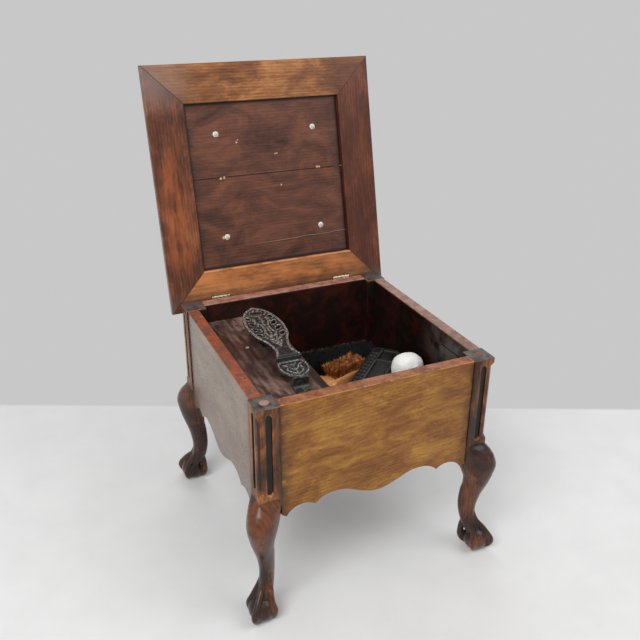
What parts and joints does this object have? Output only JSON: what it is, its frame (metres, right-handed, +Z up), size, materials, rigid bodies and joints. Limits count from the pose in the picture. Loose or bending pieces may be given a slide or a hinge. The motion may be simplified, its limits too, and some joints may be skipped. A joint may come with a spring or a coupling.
{
  "type": "shoe shine box",
  "caption": "Square wooden box on cabriole legs with a hinged padded lid, an iron shoe rest on an inner shelf and loose brushes in the compartment.",
  "frame": {"origin": "on the floor, under the middle of the whole object's bounding box with the lid open", "axes": "+X to the right seen from the front, +Y to the hinged back, +Z up"},
  "size_m": [0.4302, 0.54, 0.7426],
  "materials": {
    "mahogany": "waxed",
    "golden_mahogany": "waxed",
    "inside_wood": "worn",
    "lid_board_wood": "worn",
    "plug_wood": "matte",
    "black_iron": "worn enamel",
    "hinge_brass": "worn",
    "screw_brass": "worn",
    "nail_steel": "dull",
    "seat_leather": "satin",
    "button_leather": "satin",
    "white_washer": "matte",
    "white_twine": "matte",
    "black_lacquer": "lacquered",
    "black_bristle": "matte",
    "beech": "waxed",
    "brown_bristle": "matte",
    "white_wool": "matte"
  },
  "bodies": {
    "case": {"leg_front_left": "mahogany", "leg_front_right": "mahogany", "leg_back_left": "mahogany", "leg_back_right": "mahogany", "post_plugs": "plug_wood", "front_board": "golden_mahogany", "right_board": "mahogany", "back_board": "mahogany", "left_board": "mahogany", "bottom_board_front": "inside_wood", "bottom_board_back": "inside_wood", "bottom_cleat_left": "inside_wood", "bottom_cleat_right": "inside_wood", "bottom_nails": "nail_steel", "shelf_board": "inside_wood", "shelf_ledger_front": "inside_wood", "shelf_ledger_back": "inside_wood", "shelf_nails": "nail_steel", "foot_rest": "black_iron", "foot_rest_screws": "screw_brass", "hinge_leaf_fixed_left": "hinge_brass", "hinge_leaf_fixed_right": "hinge_brass", "hinge_pins": "hinge_brass", "hinge_screws_case": "screw_brass"},
    "lid": {"lid_rail_back": "mahogany", "lid_stile_right": "mahogany", "lid_rail_front": "mahogany", "lid_stile_left": "mahogany", "lid_board_back": "lid_board_wood", "lid_board_front": "lid_board_wood", "lid_nails": "nail_steel", "hinge_leaf_moving_left": "hinge_brass", "hinge_leaf_moving_right": "hinge_brass", "hinge_screws_lid": "screw_brass", "seat_pad": "seat_leather", "seat_buttons": "button_leather", "tie_washers": "white_washer", "tie_twines": "white_twine"},
    "long_brush": {"long_brush_back": "black_lacquer", "long_brush_bristles": "black_bristle"},
    "brown_brush": {"brown_brush_back": "beech", "brown_brush_bristles": "brown_bristle"},
    "black_brush": {"black_brush_back": "black_lacquer", "black_brush_bristles": "black_bristle"},
    "buffer": {"buffer_block": "beech", "buffer_wool": "white_wool"}
  },
  "joints": [
    {"name": "lid_hinge", "type": "hinge", "parent": "case", "child": "lid", "pos_m": [0, 0.13888, 0.36025], "axis": [1, 0, 0], "range_deg": [0, 103.2]},
    {"name": "long_brush_lift", "type": "slide", "parent": "case", "child": "long_brush", "axis": [0, 0, 1], "range_m": [0, 0.3]},
    {"name": "brown_brush_lift", "type": "slide", "parent": "case", "child": "brown_brush", "axis": [0, 0, 1], "range_m": [0, 0.3]},
    {"name": "black_brush_lift", "type": "slide", "parent": "case", "child": "black_brush", "axis": [0, 0, 1], "range_m": [0, 0.3]},
    {"name": "buffer_lift", "type": "slide", "parent": "case", "child": "buffer", "axis": [0, 0, 1], "range_m": [0, 0.3]}
  ]
}
